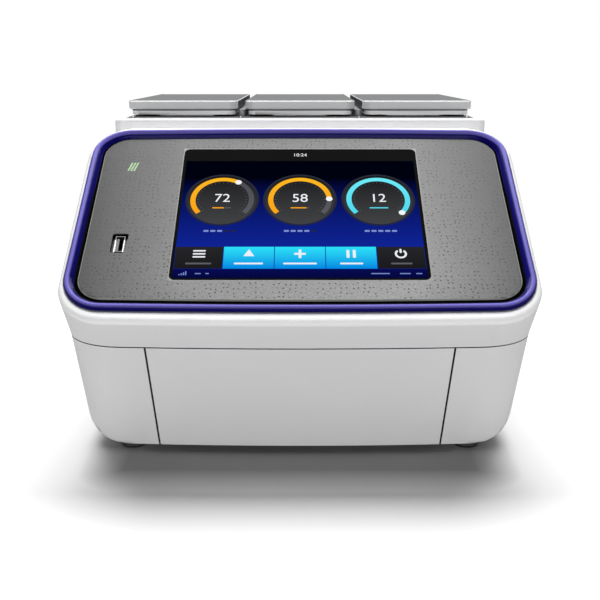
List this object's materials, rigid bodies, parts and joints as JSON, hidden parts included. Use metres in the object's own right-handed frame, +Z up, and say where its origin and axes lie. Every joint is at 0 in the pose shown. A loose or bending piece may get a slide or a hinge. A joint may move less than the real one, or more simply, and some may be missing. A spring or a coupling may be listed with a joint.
{
  "type": "gradient thermal cycler",
  "caption": "Bench thermal cycler with a tilted touch screen console and three sample blocks under hinged lids on a slide-out module.",
  "frame": {"origin": "on the bench under the middle of the instrument's box", "axes": "+X to the right seen from the front, +Y to the back, +Z up"},
  "size_m": [0.311, 0.4592, 0.238],
  "materials": {
    "white_plastic": "fine satin moulded",
    "blue_gloss": "polished",
    "grey_fascia": "finely textured",
    "screen_glass": "polished, lit display behind",
    "silver_paint": "metallic silver paint",
    "light_silver": "satin silver",
    "aluminium": "machined",
    "steel": "brushed",
    "sheet_metal": "rolled sheet",
    "black_plastic": "moulded",
    "dark_grey_plastic": "moulded",
    "rubber": "matt",
    "circuit_board": "solder mask",
    "green_light": "lit light guide",
    "ceramic": "ceramic plates"
  },
  "bodies": {
    "base": {"lower_housing": "white_plastic", "front_cover": "white_plastic", "upper_housing": "white_plastic", "control_ring": "blue_gloss", "control_fascia": "grey_fascia", "touch_glass": "screen_glass", "display_panel": "black_plastic", "display_board": "circuit_board", "front_usb_port": "steel", "status_light": "green_light", "rubber_feet": "rubber", "rear_panel": "sheet_metal", "housing_screws": "steel", "mains_inlet": "black_plastic", "fuse_drawer": "black_plastic", "switch_housing": "black_plastic", "network_port": "steel", "rear_usb_ports": "steel", "power_supply": "sheet_metal", "main_board": "circuit_board", "bay_tray": "sheet_metal", "bay_rails": "black_plastic", "dock_socket": "black_plastic"},
    "power_rocker": {"power_rocker": "black_plastic"},
    "module": {"module_cover": "white_plastic", "module_chassis": "sheet_metal", "module_board": "circuit_board", "dock_plug": "black_plastic", "module_grille": "dark_grey_plastic", "fan_frames": "black_plastic", "heat_sink_1": "aluminium", "heat_sink_2": "aluminium", "heat_sink_3": "aluminium", "cooling_elements": "ceramic", "sample_block_1": "aluminium", "sample_block_2": "aluminium", "sample_block_3": "aluminium", "block_frame_1": "black_plastic", "block_frame_2": "black_plastic", "block_frame_3": "black_plastic", "lid_hinge_brackets": "steel", "lid_hinge_pins": "steel", "lid_dividers": "silver_paint", "module_screws": "steel"},
    "module_handle": {"module_handle": "dark_grey_plastic"},
    "fan_rotor_1": {"fan_rotor_1": "black_plastic"},
    "lid_1": {"lid_frame_1": "light_silver", "heated_plate_1": "aluminium", "lever_pin_1": "steel"},
    "lever_1": {"lid_lever_1": "silver_paint"},
    "fan_rotor_2": {"fan_rotor_2": "black_plastic"},
    "lid_2": {"lid_frame_2": "light_silver", "heated_plate_2": "aluminium", "lever_pin_2": "steel"},
    "lever_2": {"lid_lever_2": "silver_paint"},
    "fan_rotor_3": {"fan_rotor_3": "black_plastic"},
    "lid_3": {"lid_frame_3": "light_silver", "heated_plate_3": "aluminium", "lever_pin_3": "steel"},
    "lever_3": {"lid_lever_3": "silver_paint"}
  },
  "joints": [
    {"name": "module_slide", "type": "slide", "parent": "base", "child": "module", "axis": [0, 1, 0], "range_m": [0, 0.3]},
    {"name": "power_rocker_tilt", "type": "hinge", "parent": "base", "child": "power_rocker", "pos_m": [0.044, 0.224, 0.044], "axis": [-1, 0, 0], "range_deg": [0, 16]},
    {"name": "handle_lift", "type": "hinge", "parent": "module", "child": "module_handle", "pos_m": [0, 0.168, 0.2172], "axis": [1, 0, 0], "range_deg": [0, 90]},
    {"name": "lid_hinge_1", "type": "hinge", "parent": "module", "child": "lid_1", "pos_m": [-0.0925, 0.13295, 0.2292], "axis": [-1, 0, 0], "range_deg": [0, 65]},
    {"name": "lever_lift_1", "type": "hinge", "parent": "lid_1", "child": "lever_1", "pos_m": [-0.0925, 0.12525, 0.23465], "axis": [-1, 0, 0], "range_deg": [0, 25]},
    {"name": "fan_spin_1", "type": "hinge", "parent": "module", "child": "fan_rotor_1", "pos_m": [-0.08625, 0.2065, 0.146], "axis": [0, 1, 0], "continuous": true},
    {"name": "lid_hinge_2", "type": "hinge", "parent": "module", "child": "lid_2", "pos_m": [0, 0.13295, 0.2292], "axis": [-1, 0, 0], "range_deg": [0, 65]},
    {"name": "lever_lift_2", "type": "hinge", "parent": "lid_2", "child": "lever_2", "pos_m": [0, 0.12525, 0.23465], "axis": [-1, 0, 0], "range_deg": [0, 25]},
    {"name": "fan_spin_2", "type": "hinge", "parent": "module", "child": "fan_rotor_2", "pos_m": [0, 0.2065, 0.146], "axis": [0, 1, 0], "continuous": true},
    {"name": "lid_hinge_3", "type": "hinge", "parent": "module", "child": "lid_3", "pos_m": [0.0925, 0.13295, 0.2292], "axis": [-1, 0, 0], "range_deg": [0, 65]},
    {"name": "lever_lift_3", "type": "hinge", "parent": "lid_3", "child": "lever_3", "pos_m": [0.0925, 0.12525, 0.23465], "axis": [-1, 0, 0], "range_deg": [0, 25]},
    {"name": "fan_spin_3", "type": "hinge", "parent": "module", "child": "fan_rotor_3", "pos_m": [0.08625, 0.2065, 0.146], "axis": [0, 1, 0], "continuous": true}
  ]
}
